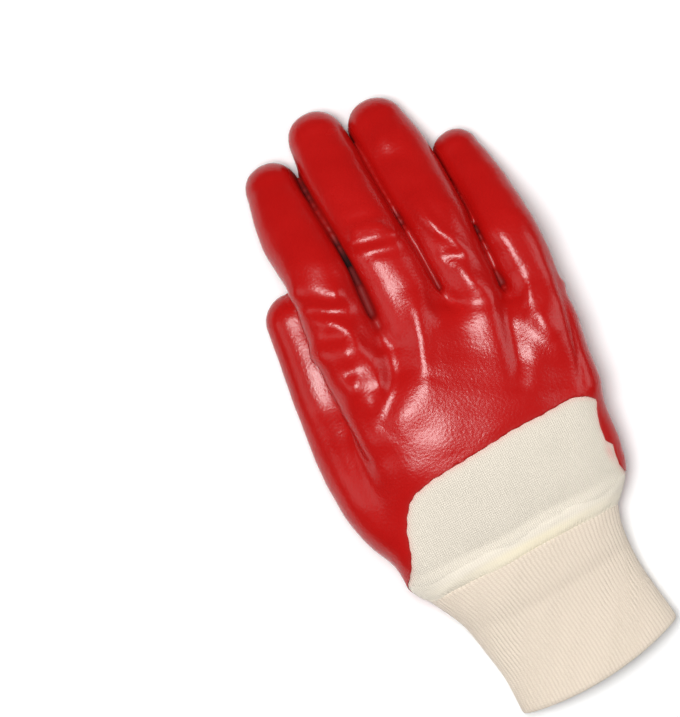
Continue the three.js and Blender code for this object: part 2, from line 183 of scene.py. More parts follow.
THUMB_SECTIONS = {
    "along": [0.0, 0.15, 0.29, 0.4, 0.51, 0.62, 0.74, 0.86, 1.0],
    "out": [-0.42, -0.1, 0.06, 0.14, 0.17, 0.18, 0.13, 0.08, 0.02],
    "wide": [0.96, 1.36, 1.56, 1.48, 1.34, 1.16, 1.08, 1.0, 0.92],
    "deep": [0.9, 1.22, 1.3, 1.2, 1.04, 0.92, 0.9, 0.82, 0.76],
    "high": [0.66, 0.71, 0.7, 0.64, 0.54, 0.45, 0.43, 0.39, 0.36],
}
THUMB_LENGTH = 136
THUMB_WIDTH = 25


def curve(table, column, at):
    """A table's column as one smooth curve of its first column."""
    x, y = np.array(table["along"], float), np.array(table[column], float)
    slope = np.gradient(y, x)
    at = np.clip(at, x[0], x[-1])
    i = np.clip(np.searchsorted(x, at) - 1, 0, len(x) - 2)
    h = x[i + 1] - x[i]
    t = (at - x[i]) / h
    start = (1 + 2 * t) * (1 - t) ** 2 * y[i] + t * (1 - t) ** 2 * h * slope[i]
    return start + t * t * (3 - 2 * t) * y[i + 1] + t * t * (t - 1) * h * slope[i + 1]


def eased(share):
    """A share from 0 to 1 that starts and ends gently."""
    share = np.clip(share, 0, 1)
    return share * share * (3 - 2 * share)


def cuff_section(y):
    """Middle and half sizes of the wrist's fabric at a distance from the hem."""
    share = y / CUFF_LENGTH
    lift = curve(CUFF_SECTIONS, "lift", share)
    half_height = (CUFF_HEIGHT + CUFF_SWELL * curve(CUFF_SECTIONS, "swell", share)) / 2
    underside = np.where(lift < 0, lift * CUFF_PRESS, lift * CUFF_RAISE)
    return {"x": curve(CUFF_SECTIONS, "sway", share), "wide": curve(CUFF_SECTIONS, "wide", share),
            "z": underside + half_height, "deep": half_height, "hem": np.clip(1 - share, 0, None)}


def hand_section(y):
    """Middle and half sizes of the coated hand at a distance from the hem; the wrist's below the seam."""
    share = (y - CUFF_LENGTH) / PALM_LENGTH
    above = share >= 0
    deep = curve(HAND_SECTIONS, "deep", share) * PALM_HEIGHT / 2
    sway = curve(HAND_SECTIONS, "sway", share)
    lift = curve(HAND_SECTIONS, "lift", share)
    hand = {"x": SEAM_SHIFT + (KNUCKLE_SHIFT - SEAM_SHIFT) * sway,
            "z": HEEL_UNDERSIDE + (KNUCKLE_UNDERSIDE - HEEL_UNDERSIDE) * lift + deep,
            "wide": curve(HAND_SECTIONS, "wide", share) * PALM_WIDTH / 2, "deep": deep}
    cuff = cuff_section(y)
    cuff["wide"], cuff["deep"] = cuff["wide"] + SKIN, cuff["deep"] + SKIN
    section = {key: np.where(above, hand[key], cuff[key]) for key in hand}
    section["hem"] = np.where(above, 0, cuff["hem"])
    lean, roll = math.tan(math.radians(KNUCKLE_LEAN)), math.tan(math.radians(HAND_ROLL))
    section["lean"] = np.where(above, lean * np.clip(share, 0, 1.2) ** 3, 0)
    section["roll"] = np.where(above, roll * eased(share / 0.6), 0)
    return section


GRID = 1.27
GRID_SPANS = ((-78, 66), (38, 274), (-5, 58))
FAR = 60.0
grid_axes = [np.arange(low, high, GRID) for low, high in GRID_SPANS]
grid_x, grid_y, grid_z = np.meshgrid(*grid_axes, indexing="ij")
flat_x, flat_y = grid_x[:, :, 0], grid_y[:, :, 0]


def true_distance(field):
    """A field that is zero on a surface, scaled to millimetres from it."""
    slopes = np.gradient(field, GRID)
    steep = np.sqrt(slopes[0] ** 2 + slopes[1] ** 2 + slopes[2] ** 2)
    return field / np.maximum(steep, 1e-3)


def melted(first, second, reach):
    """Two forms as one, with the corner between them filled over that reach."""
    mix = np.clip(0.5 + 0.5 * (second - first) / reach, 0, 1)
    return second * (1 - mix) + first * mix - reach * mix * (1 - mix)


def hem_bow(side):
    """How far the hem hangs out at a place across the wrist, from -1 to 1."""
    return HEM_SLANT * side - HEM_CURVE * (1 - side ** 2)


slanted_y = flat_y.copy()
for _ in range(6):
    palm = hand_section(slanted_y)
    aside = np.clip(flat_x - palm["x"], -1.15 * palm["wide"], 1.15 * palm["wide"])
    slant = palm["lean"] * np.where(aside > 0, aside, INDEX_LEAN_SHARE * aside)
    slanted_y = flat_y + slant - palm["hem"] * hem_bow(aside / palm["wide"])
palm = {key: value[:, :, None] for key, value in hand_section(slanted_y).items()}
palm_dx = grid_x - palm["x"]
palm_dz = grid_z - palm["z"] + palm["roll"] * palm_dx
palm_size = np.abs(palm_dx / palm["wide"]) ** FULLNESS + np.abs(palm_dz / palm["deep"]) ** FULLNESS
palm_size = palm_size ** (1 / FULLNESS)
palm_field = true_distance((palm_size - 1) * np.minimum(palm["wide"], palm["deep"]))
palm_end = CUFF_LENGTH + HAND_SECTIONS["along"][-1] * PALM_LENGTH
palm_field = np.maximum(palm_field, slanted_y[:, :, None] - palm_end)


TUBE_REACH = 24


def tube_field(centres, wide, deep, end_radius, start_radius):
    """Distance from a bent tube with round ends, through these centres."""
    low, high = centres.min(axis=0) - TUBE_REACH, centres.max(axis=0) + TUBE_REACH
    spans = tuple(slice(*np.searchsorted(axis, (a, b))) for axis, a, b in zip(grid_axes, low, high))
    points = np.stack([grid_x[spans], grid_y[spans], grid_z[spans]], axis=-1).reshape(-1, 3)
    tangents = np.gradient(centres, axis=0)
    tangents /= np.linalg.norm(tangents, axis=1)[:, None]
    nearest = np.zeros(len(points), int)
    best = np.full(len(points), 1e9)
    for i, centre in enumerate(centres):
        gap = ((points - centre) ** 2).sum(axis=1)
        closer = gap < best
        nearest[closer], best[closer] = i, gap[closer]
    ahead = tangents[nearest]
    offset = points - centres[nearest]
    along = (offset * ahead).sum(axis=1)
    spacing = np.linalg.norm(np.diff(centres, axis=0), axis=1).mean()
    place = np.clip(nearest + along / spacing, 0, len(centres) - 1)
    stations = np.arange(len(centres))
    half_wide, half_deep = np.interp(place, stations, wide), np.interp(place, stations, deep)
    past = np.where(nearest == len(centres) - 1, np.clip(along, 0, None), 0)
    before = np.where(nearest == 0, np.clip(-along, 0, None), 0)
    side = np.stack([ahead[:, 1], -ahead[:, 0], np.zeros(len(ahead))], axis=1)
    side /= np.linalg.norm(side, axis=1)[:, None]
    up = np.cross(side, ahead)
    dx, dz = (offset * side).sum(axis=1), (offset * up).sum(axis=1)
    size = np.abs(dx / half_wide) ** TUBE_FULLNESS + np.abs(dz / half_deep) ** TUBE_FULLNESS
    size = size ** (2 / TUBE_FULLNESS)
    size = np.sqrt(size + (past / end_radius) ** 2 + (before / start_radius) ** 2)
    field = np.full(grid_x.shape, FAR)
    shape = grid_x[spans].shape
    field[spans] = true_distance(((size - 1) * np.minimum(half_wide, half_deep)).reshape(shape))
    return field


KNUCKLE_HIGH = 29.6
KNUCKLE_SLOPE = 3
CROTCH = {"y": 171, "level_to": 8, "fall": 0.42}
WEB_TOP = 5
WEB_LENGTH = 18
FINGER_START = 36
ROOT_NARROWING = 0.28
ROOT_LENGTH = 28
ROOT_ROUND = 6.0
PAD_PRESS = 2.2
PALM_MELT = 9.0
THUMB_ROOT_ROUND = 3.0
THUMB_WEB = {"least": 0.3, "more": 6.7, "top": 166, "length": 36}
FLOOR_MELT = 1.2
FLOOR_GAP = 0.05
finger_crotch = CROTCH["y"] - CROTCH["fall"] * np.clip(grid_x - CROTCH["level_to"], 0, None)
web_share = np.clip((finger_crotch + WEB_TOP - grid_y) / WEB_LENGTH, 0, 1)
touching = np.full(grid_x.shape, FAR)
nearest_finger = np.full(grid_x.shape, FAR)
fingers_field = np.full(grid_x.shape, FAR)
for finger in FINGERS:
    end_radius = (finger["right"][-1] - finger["left"][-1]) / 2
    along = np.linspace(finger["root"] - FINGER_START, finger["tip"] - end_radius, 64)
    left, right = curve(finger, "left", along), curve(finger, "right", along)
    share = (along - finger["root"]) / finger["length"]
    curl = curve(FINGER_SECTIONS, "curl", share)
    high = KNUCKLE_HIGH - math.tan(math.radians(KNUCKLE_SLOPE)) * ((left + right) / 2 - KNUCKLE_SHIFT)
    low = finger["depth"] * FINGER_SECTIONS["deep"][-1] / 2 - PAD_PRESS
    centres = np.stack([(left + right) / 2, along, high + (low - high) * curl], axis=1)
    deep = curve(FINGER_SECTIONS, "deep", share) * finger["depth"] / 2
    emerging = 1 - ROOT_NARROWING * (1 - np.clip((along - along[0]) / ROOT_LENGTH, 0, 1))
    finger_field = tube_field(centres, (right - left) / 2 * emerging, deep, end_radius, ROOT_ROUND)
    touching = np.minimum(touching, np.maximum(nearest_finger, finger_field))
    nearest_finger = np.minimum(nearest_finger, finger_field)
    fingers_field = melted(fingers_field, finger_field, 0.2 + finger["web"] * web_share)
touching = touching + np.clip((finger_crotch - grid_y) / 8, 0, None)
hand_field = melted(palm_field, fingers_field, PALM_MELT)
share = np.linspace(0, 1 - 0.5 * THUMB_WIDTH / THUMB_LENGTH, 60)
thumb_edge = KNUCKLE_SHIFT - PALM_WIDTH / 2
thumb_centres = np.stack([thumb_edge - curve(THUMB_SECTIONS, "out", share) * THUMB_WIDTH,
                          CUFF_LENGTH + SEAM_WIDTH + share * THUMB_LENGTH,
                          curve(THUMB_SECTIONS, "high", share) * THUMB_WIDTH], axis=1)
thumb_field = tube_field(thumb_centres, curve(THUMB_SECTIONS, "wide", share) * THUMB_WIDTH / 2,
                         curve(THUMB_SECTIONS, "deep", share) * THUMB_WIDTH / 2,
                         THUMB_WIDTH / 2, THUMB_ROOT_ROUND)
thumb_share = eased((THUMB_WEB["top"] - grid_y) / THUMB_WEB["length"])
thumb_web = THUMB_WEB["least"] + THUMB_WEB["more"] * thumb_share
hand_field = np.minimum(hand_field, melted(palm_field, thumb_field, thumb_web))
hand_field = -melted(-hand_field, grid_z - FLOOR_GAP, FLOOR_MELT)


def level_surface(field, level):
    """Points and four-sided faces of the surface where a field has that level."""
    values = field - level
    inside = values < 0
    corners = [(i, j, k) for i in (0, 1) for j in (0, 1) for k in (0, 1)]
    size = np.array(values.shape) - 1
    spans = [tuple(slice(corner[a], corner[a] + size[a]) for a in range(3)) for corner in corners]
    filled = sum(inside[span].astype(int) for span in spans)
    cells = np.argwhere((filled > 0) & (filled < 8))
    number = np.full(tuple(size), -1)
    number[tuple(cells.T)] = np.arange(len(cells))
    total, hits = np.zeros((len(cells), 3)), np.zeros(len(cells))
    for a in range(3):
        for corner in corners:
            if corner[a]:
                continue
            opposite = tuple(1 if i == a else corner[i] for i in range(3))
            first = values[tuple((cells + corner).T)]
            last = values[tuple((cells + opposite).T)]
            crossed = (first < 0) != (last < 0)
            t = np.where(crossed, first / np.where(crossed, first - last, 1), 0)
            spot = np.array(corner, float)[None, :].repeat(len(cells), 0)
            spot[:, a] += t
            total += spot * crossed[:, None]
            hits += crossed
    points = (cells + total / hits[:, None]) * GRID + np.array([axis[0] for axis in grid_axes])
    faces = []
    for a in range(3):
        b, c = (a + 1) % 3, (a + 2) % 3
        lower = [slice(None)] * 3
        upper = [slice(None)] * 3
        lower[a], upper[a] = slice(0, -1), slice(1, None)
        edges = np.argwhere(inside[tuple(lower)] != inside[tuple(upper)])
        keep = (edges[:, b] > 0) & (edges[:, c] > 0) & (edges[:, b] < size[b]) & (edges[:, c] < size[c])
        edges = edges[keep]
        step_b, step_c = np.eye(3, dtype=int)[b], np.eye(3, dtype=int)[c]
        steps = (step_b + step_c, step_c, 0 * step_b, step_b)
        quad = np.stack([number[tuple((edges - step).T)] for step in steps], axis=1)
        outward = inside[tuple(edges.T)]
        quad[~outward] = quad[~outward][:, ::-1]
        faces.append(quad)
    faces = np.concatenate(faces)
    return points, faces[(faces >= 0).all(axis=1)]


def sampled(field, points):
    """A field's value at any points, between its grid points."""
    place = (points - np.array([axis[0] for axis in grid_axes])) / GRID
    cell = np.clip(np.floor(place).astype(int), 0, np.array(field.shape) - 2)
    t = np.clip(place - cell, 0, 1)
    result = 0
    for i in (0, 1):
        for j in (0, 1):
            for k in (0, 1):
                weight = np.abs(1 - i - t[:, 0]) * np.abs(1 - j - t[:, 1]) * np.abs(1 - k - t[:, 2])
                result = result + weight * field[cell[:, 0] + i, cell[:, 1] + j, cell[:, 2] + k]
    return result


def point_normals(points, faces):
    """Outward direction at each point."""
    normals = np.zeros_like(points)
    across = np.cross(points[faces[:, 2]] - points[faces[:, 0]], points[faces[:, -1]] - points[faces[:, 1]])
    for corner in range(faces.shape[1]):
        for a in range(3):
            normals[:, a] += np.bincount(faces[:, corner], across[:, a], len(points))
    return normals / np.maximum(np.linalg.norm(normals, axis=1), 1e-9)[:, None]


def fitted(points, faces, field, level):
    """Points drawn evenly apart by their neighbours and kept on the surface."""
    ends = np.concatenate([faces[:, [i, (i + 1) % 4]] for i in range(4)])
    counts = np.maximum(np.bincount(ends[:, 0], minlength=len(points)), 1)[:, None]
    for _ in range(3):
        total = [np.bincount(ends[:, 0], points[ends[:, 1], a], len(points)) for a in range(3)]
        mean = np.stack(total, axis=1) / counts
        points = points + 0.5 * (mean - points)
        normals = point_normals(points, faces)
        points = points - normals * np.clip(sampled(field, points) - level, -0.6, 0.6)[:, None]
    return points


def trimmed(points, faces, value, extras):
    """The part of a surface where value is above zero, cut along the line where it is zero."""
    triangles = np.concatenate([faces[:, [0, 1, 2]], faces[:, [0, 2, 3]]])
    positive = value > 0
    count = positive[triangles].sum(axis=1)
    kept = [triangles[count == 3]]
    pool = {}
    new_points, new_values = [], {key: [] for key in extras}

    def cut(a, b):
        key = (min(a, b), max(a, b))
        if key not in pool:
            t = value[a] / (value[a] - value[b])
            pool[key] = len(points) + len(new_points)
            new_points.append(points[a] + (points[b] - points[a]) * t)
            for label, numbers in extras.items():
                new_values[label].append(numbers[a] + (numbers[b] - numbers[a]) * t)
        return pool[key]

    pieces = []
    for triangle in triangles[(count == 1) | (count == 2)].tolist():
        signs = [bool(positive[v]) for v in triangle]
        lone = signs.index(True) if sum(signs) == 1 else signs.index(False)
        a, b, c = triangle[lone], triangle[(lone + 1) % 3], triangle[(lone + 2) % 3]
        ab, ac = cut(a, b), cut(a, c)
        if sum(signs) == 1:
            pieces.append([a, ab, ac])
        else:
            pieces += [[ab, b, c], [ab, c, ac]]
    if pieces:
        kept.append(np.array(pieces))
    faces = np.concatenate(kept)
    all_points = np.concatenate([points, np.array(new_points).reshape(-1, 3)])
    used, back = np.unique(faces, return_inverse=True)
    values = {key: np.concatenate([extras[key], np.array(new_values[key])])[used] for key in extras}
    return all_points[used], back.reshape(faces.shape), values


def shelled(points, faces, thickness, normals):
    """A closed wall: the surface, the same surface set in by its thickness, and a rim."""
    count = len(points)
    inner = points - normals * thickness[:, None]
    ends = np.concatenate([faces[:, [i, (i + 1) % 3]] for i in range(3)])
    code = ends.min(axis=1).astype(np.int64) * count + ends.max(axis=1)
    _, index, repeats = np.unique(code, return_index=True, return_counts=True)
    rim = ends[index[repeats == 1]]
    strip = np.concatenate([np.stack([rim[:, 1], rim[:, 0], rim[:, 0] + count], 1),
                            np.stack([rim[:, 1], rim[:, 0] + count, rim[:, 1] + count], 1)])
    walls = np.concatenate([faces, faces[:, ::-1] + count, strip])
    return np.concatenate([points, inner]), walls, len(faces)


WINDOW = np.array([(-90, 30), (-90, 69), (-60.5, 69.8), (-57.6, 71.8), (-54.4, 76.5), (-52, 81.7),
                   (-49.4, 90), (-46, 96.6), (-42.5, 101), (-38, 103.4), (-30, 105), (-20, 105.9),
                   (-7.5, 106.5), (7.8, 107.8), (24, 107.6), (34.4, 107.8), (40, 107.2), (43.5, 105.6),
                   (47.4, 101.9), (46.4, 99.6), (44.4, 95.5), (43.2, 89), (42.8, 84.8), (45, 81.6),
                   (44, 77.3), (43.5, 73), (44.6, 69.3), (47, 68.4), (90, 68), (90, 30)], float)
PALM_EDGE = {"along": [-70, -61, -52, -41, -32, -20, -10, 4, 16, 28, 36, 42, 46, 60],
             "rise": [70, 66, 55, 50, 47, 42, 43, 45, 48, 54, 62, 67, 70, 72]}
DRIP_LENGTH = 1.3
DRIP_WIDTH = 2.1
DRIP_SWAY = 0.8


def bare_margin(points):
    """Millimetres from the coating's lower edge, above zero where the hand is coated."""
    x, y = points[:, 0], points[:, 1]
    wobble = 0.16 * np.sin(x / 2.1) * np.sin(x / 5.3 + 1) + 0.14 * np.sin(x / 0.9 + y / 1.7)
    best, inside = np.full(len(points), 1e9), np.zeros(len(points), bool)
    for a, b in zip(WINDOW, np.roll(WINDOW, -1, axis=0)):
        edge = b - a
        t = np.clip(((x - a[0]) * edge[0] + (y - a[1]) * edge[1]) / (edge @ edge), 0, 1)
        best = np.minimum(best, np.hypot(x - a[0] - t * edge[0], y - a[1] - t * edge[1]))
        crosses = (a[1] > y) != (b[1] > y)
        inside ^= crosses & (x < (b[0] - a[0]) * (y - a[1]) / np.where(crosses, b[1] - a[1], 1) + a[0])
    back = np.where(inside, -best, best) + wobble
    drips = DRIP_LENGTH * np.abs(np.sin(np.pi * x / DRIP_WIDTH)) + DRIP_SWAY * np.sin(x / 1.7)
    under = y - curve(PALM_EDGE, "rise", x) + drips - 0.6
    section = hand_section(y)
    lift = (points[:, 2] - section["z"] + section["roll"] * (x - section["x"])) / section["deep"]
    weight = eased(lift / 0.7 + 0.5)
    return back * weight + under * (1 - weight)


BARE_LEVEL = 0.45
EDGE_REACH = 6.0
ROLL = {
    "along": [-0.3, -0.08, 0.0, 0.06, 0.16, 0.3, 0.5, 0.7, 0.82, 0.9, 1.0, 1.12, 1.3, 1.6, 2.1, 2.6],
    "seam": [-1.4, -1.05, -0.7, -0.35, 0.05, 0.4, 0.62, 0.7, 0.6, 0.4, 0.0, -0.6, -1.0, -1.2, -1.2, -1.2],
    "back": [-1.2, -1.2, -1.2, -1.2, -1.2, -1.0, -0.4, 0.3, 0.54, 0.5, 0.2, -0.3, -0.8, -0.5, -0.15, 0.0],
    "cover": [0.0, 0.0, 0.1, 0.25, 0.45, 0.7, 0.85, 0.85, 0.7, 0.6, 0.35, 0.1, 0.0, 0.0, 0.0, 0.0],
}


def fabric_level(points):
    """The fabric's depth below the coated form: nearly flush where it is bare, deeper under the coating."""
    return -BARE_LEVEL - (SKIN - BARE_LEVEL) * eased(bare_margin(points) / EDGE_REACH)


def roll_height(points, column):
    """How far the seam lifts or dips the fabric at each point, fading towards the sides of the hand."""
    x, y = points[:, 0], points[:, 1]
    section = hand_section(y)
    side = np.clip(np.abs(x - section["x"]) / section["wide"], 0, 1)
    drift = 0.5 * np.sin(x / 23 + 0.5) + 0.3 * np.sin(x / 7 + 1) + 2.2 * np.clip((-20 - x) / 35, 0, 1) ** 2
    height = curve(ROLL, column, (y - drift - CUFF_LENGTH) / SEAM_WIDTH)
    fade = (1 - 0.85 * side ** 3) * (1 + 0.12 * np.sin(x / 11))
    return np.where(height > 0, height * fade, height * (1 - 0.5 * side ** 3))


knit_loops = bpy.data.node_groups.new("knit_loops", "ShaderNodeTree")
knit_loops.interface.new_socket("Grain", in_out="INPUT", socket_type="NodeSocketVector")
knit_loops.interface.new_socket("Fuzz", in_out="INPUT", socket_type="NodeSocketFloat")
knit_loops.interface.new_socket("Light", in_out="INPUT", socket_type="NodeSocketColor")
knit_loops.interface.new_socket("Shade", in_out="INPUT", socket_type="NodeSocketColor")
knit_loops.interface.new_socket("Color", in_out="OUTPUT", socket_type="NodeSocketColor")
knit_loops.interface.new_socket("Height", in_out="OUTPUT", socket_type="NodeSocketFloat")


def math_node(tree, operation, first, second=None, third=None):
    """One Math node on sockets or numbers, and its output."""
    node = tree.nodes.new("ShaderNodeMath")
    node.operation = operation
    for slot, value in zip(node.inputs, (first, second, third)):
        if value is None:
            continue
        if isinstance(value, (int, float)):
            slot.default_value = value
        else:
            tree.links.new(value, slot)
    return node.outputs[0]


loops_in = knit_loops.nodes.new("NodeGroupInput")
loops_out = knit_loops.nodes.new("NodeGroupOutput")
loops_split = knit_loops.nodes.new("ShaderNodeSeparateXYZ")
knit_loops.links.new(loops_in.outputs["Grain"], loops_split.inputs[0])
loops_noise = knit_loops.nodes.new("ShaderNodeTexNoise")
loops_noise.inputs["Scale"].default_value = 0.45
loops_noise.inputs["Detail"].default_value = 4
knit_loops.links.new(loops_in.outputs["Grain"], loops_noise.inputs["Vector"])
stray = math_node(knit_loops, "MULTIPLY_ADD", loops_noise.outputs["Fac"], 0.7, -0.35)
wale = math_node(knit_loops, "ADD", loops_split.outputs["X"], stray)
wale_turn = math_node(knit_loops, "SINE", math_node(knit_loops, "MULTIPLY", wale, math.pi))
column = math_node(knit_loops, "ABSOLUTE", wale_turn)
lean = math_node(knit_loops, "MULTIPLY_ADD", column, 0.45, loops_split.outputs["Y"])
course = math_node(knit_loops, "SINE", math_node(knit_loops, "MULTIPLY", lean, 2 * math.pi))
row_height = math_node(knit_loops, "MULTIPLY_ADD", course, 0.18, 0.66)
loop_height = math_node(knit_loops, "MULTIPLY", math_node(knit_loops, "POWER", column, 0.7), row_height)
loops_fine = knit_loops.nodes.new("ShaderNodeTexNoise")
loops_fine.inputs["Scale"].default_value = 5.0
loops_fine.inputs["Detail"].default_value = 6
knit_loops.links.new(loops_in.outputs["Grain"], loops_fine.inputs["Vector"])
fibres = math_node(knit_loops, "MULTIPLY", loops_fine.outputs["Fac"], loops_in.outputs["Fuzz"])
knit_loops.links.new(math_node(knit_loops, "ADD", loop_height, fibres), loops_out.inputs["Height"])
# Painted shade: each loop's top takes the Light colour and the hollows between loops the Shade colour, with
# fibre noise mixed in.
loops_tint = knit_loops.nodes.new("ShaderNodeMix")
loops_tint.data_type = "RGBA"
loop_light = math_node(knit_loops, "MULTIPLY_ADD", loop_height, 0.75, fibres)
knit_loops.links.new(loop_light, loops_tint.inputs["Factor"])
knit_loops.links.new(loops_in.outputs["Shade"], loops_tint.inputs["A"])
knit_loops.links.new(loops_in.outputs["Light"], loops_tint.inputs["B"])
knit_loops.links.new(loops_tint.outputs["Result"], loops_out.inputs["Color"])


def cotton(name, light, shade, grain_size, depth, from_pattern=True):
    """Knitted cotton: its loops, with a lighter colour on their tops and painted shade in the hollows
    between them, and the soft sheen of its fibres.
    """
    material = bpy.data.materials.new(name)
    material.use_nodes = True
    tree = material.node_tree
    shader = tree.nodes["Principled BSDF"]
    shader.inputs["Roughness"].default_value = 0.92
    shader.inputs["Specular IOR Level"].default_value = 0.25
    shader.inputs["Sheen Weight"].default_value = 0.2
    shader.inputs["Sheen Roughness"].default_value = 0.5
    where = tree.nodes.new("ShaderNodeTexCoord")
    grain = tree.nodes.new("ShaderNodeMapping")
    grain.inputs["Scale"].default_value = grain_size
    tree.links.new(where.outputs["UV" if from_pattern else "Object"], grain.inputs["Vector"])
    loops = tree.nodes.new("ShaderNodeGroup")
    loops.node_tree = knit_loops
    loops.inputs["Fuzz"].default_value = 0.35
    loops.inputs["Light"].default_value = (*light, 1)
    loops.inputs["Shade"].default_value = (*shade, 1)
    tree.links.new(grain.outputs["Vector"], loops.inputs["Grain"])
    bump = tree.nodes.new("ShaderNodeBump")
    bump.inputs["Distance"].default_value = depth
    bump.inputs["Strength"].default_value = 0.8
    tree.links.new(loops.outputs["Height"], bump.inputs["Height"])
    tree.links.new(bump.outputs["Normal"], shader.inputs["Normal"])
    tree.links.new(loops.outputs["Color"], shader.inputs["Base Color"])
    return material


def fabric_piece(name, points, faces, materials, coordinates=None, values=None):
    """A smooth object from points in millimetres, with pattern coordinates and values per point."""
    mesh = bpy.data.meshes.new(name)
    mesh.from_pydata(placed(points).tolist(), [], np.asarray(faces).tolist())
    mesh.shade_smooth()
    for material in materials:
        mesh.materials.append(material)
    corners = np.empty(len(mesh.loops), int)
    mesh.loops.foreach_get("vertex_index", corners)
    if coordinates is not None:
        layer = mesh.uv_layers.new(name="knit")
        layer.uv.foreach_set("vector", coordinates(corners).astype(np.float32).ravel())
    for label, numbers in (values or {}).items():
        attribute = mesh.attributes.new(label, "FLOAT", "POINT")
        attribute.data.foreach_set("value", np.asarray(numbers, np.float32))
    made = bpy.data.objects.new(name, mesh)
    bpy.context.scene.collection.objects.link(made)
    return made


def tinted(material, attribute, colour):
    """Adds a tint to a material's colour, as strong as the mesh's attribute says."""
    tree = material.node_tree
    base = tree.nodes["Principled BSDF"].inputs["Base Color"]
    amount = tree.nodes.new("ShaderNodeAttribute")
    amount.attribute_name = attribute
    tint = tree.nodes.new("ShaderNodeMix")
    tint.data_type = "RGBA"
    tint.inputs["B"].default_value = (*colour, 1)
    tree.links.new(amount.outputs["Fac"], tint.inputs["Factor"])
    tree.links.new(base.links[0].from_socket, tint.inputs["A"])
    tree.links.new(tint.outputs["Result"], base)


def oval(points, spot):
    """Strength of an oval spot at each point, 1 in its middle."""
    across = (points[:, 0] - spot["x"]) / spot["wide"]
    along = (points[:, 1] - spot["y"]) / spot["long"]
    return np.exp(-across ** 2 - along ** 2)


COTTON_WALL = 0.9
COTTON_START = 0.6
RIPPLE_HEIGHT = 0.22
FINE_RIPPLE_HEIGHT = 0.1
STAIN_STRENGTH = 0.8
STAIN_REACH = 1.0
SOAKED_TAB = {"x": 42.3, "y": 79.5, "wide": 1.7, "long": 4.5}
cloth_points, cloth_faces = level_surface(hand_field, -SKIN)
cloth_points = fitted(cloth_points, cloth_faces, hand_field, -SKIN)
low_end = CUFF_LENGTH + COTTON_START * SEAM_WIDTH
high_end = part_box("knit_liner")[1][1] * 1000 + MEASURED[1]
kept_stretch = np.minimum(cloth_points[:, 1] - low_end, high_end - cloth_points[:, 1])
cloth_points, cloth_faces, cloth_values = trimmed(cloth_points, cloth_faces, kept_stretch,
                                                  {"margin": bare_margin(cloth_points)})
cloth_normals = point_normals(cloth_points, cloth_faces)
x, y = cloth_points[:, 0], cloth_points[:, 1]
bare = np.clip(-cloth_values["margin"] / 4, 0, 1)
ripple = RIPPLE_HEIGHT * np.sin(x / 6.2 + y / 11) * np.sin(y / 6.5)
ripple += FINE_RIPPLE_HEIGHT * np.sin(x / 3.1 - y / 9)
cloth_lift = roll_height(cloth_points, "back") + bare * ripple + SKIN + fabric_level(cloth_points)
cloth_points = cloth_points + cloth_normals * cloth_lift[:, None]
cloth_margin = np.tile(cloth_values["margin"], 2)
cloth_wall = np.full(len(cloth_points), COTTON_WALL)
cloth_points, cloth_faces, _ = shelled(cloth_points, cloth_faces, cloth_wall, cloth_normals)

BACK_LIGHT, BACK_SHADE = (0.91, 0.84, 0.725), (0.71, 0.64, 0.53)
back_cotton = cotton("back_cotton", BACK_LIGHT, BACK_SHADE, (1150, 1100, 950), 0.00045, False)
tinted(back_cotton, "stain", (0.86, 0.47, 0.42))
stain = np.maximum(np.exp(-np.abs(cloth_margin) / STAIN_REACH), oval(cloth_points, SOAKED_TAB))
knit_back = fabric_piece("knit_back", cloth_points, cloth_faces, [back_cotton],
                         values={"stain": STAIN_STRENGTH * stain})
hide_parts("knit_liner")
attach(knit_back, "root")

# Knit wrist: a tube of cream cotton rib, knitted in one piece, folded over at the hem and sewn to the
# hand. It lies squashed flat, wider towards the seam, and its ribs run from hem to seam.
CUFF_WALL = 2.2
RIBS = 104
RIB_DEPTH = 0.34
HEM_ROUND = 1.4
POINTS_PER_RIB = 6
UNDER_SEAM = 1.2
TUCK_START = 0.2
TUCK_DEPTH = 0.45
NARROWED = {"by": 0.35, "up_to": 38, "fading": 20}
SWELL_HEIGHT = 0.35
RIB_WANDER = [
    {"by": 0.22, "length": 8.5, "turns": 3},
    {"by": 0.14, "length": 4.1, "turns": 7},
    {"by": 0.1, "length": 2.3, "turns": 19},
]


def even_angles(section, count):
    """Angles that stand evenly spaced along a flattened ring."""
    fine = np.linspace(0, 2 * np.pi, 1441)
    c, s = np.cos(fine), np.sin(fine)
    x = section["wide"] * np.sign(c) * np.abs(c) ** (2 / FULLNESS)
    z = section["deep"] * np.sign(s) * np.abs(s) ** (2 / FULLNESS)
    length = np.concatenate([[0], np.cumsum(np.hypot(np.diff(x), np.diff(z)))])
    return np.interp(np.arange(count) / count * length[-1], length, fine)


def ring(section, angles, inset, y):
    """Points round a flattened ring, set in from its face by a distance of each point's own."""
    c, s = np.cos(angles), np.sin(angles)
    dx = (section["wide"] - inset) * np.sign(c) * np.abs(c) ** (2 / FULLNESS)
    dz = (section["deep"] - inset) * np.sign(s) * np.abs(s) ** (2 / FULLNESS)
    bowed_y = y + section["hem"] * hem_bow(dx / section["wide"])
    return np.stack([section["x"] + dx, bowed_y, section["z"] + dz], axis=-1)


def tube_faces(rows, count):
    """Faces of a closed tube of rows that comes back to its first row."""
    row, column = np.meshgrid(np.arange(rows), np.arange(count), indexing="ij")
    row_next, column_next = (row + 1) % rows, (column + 1) % count
    corners = [row * count + column, row_next * count + column,
               row_next * count + column_next, row * count + column_next]
    return np.stack([c.ravel() for c in corners], axis=1)


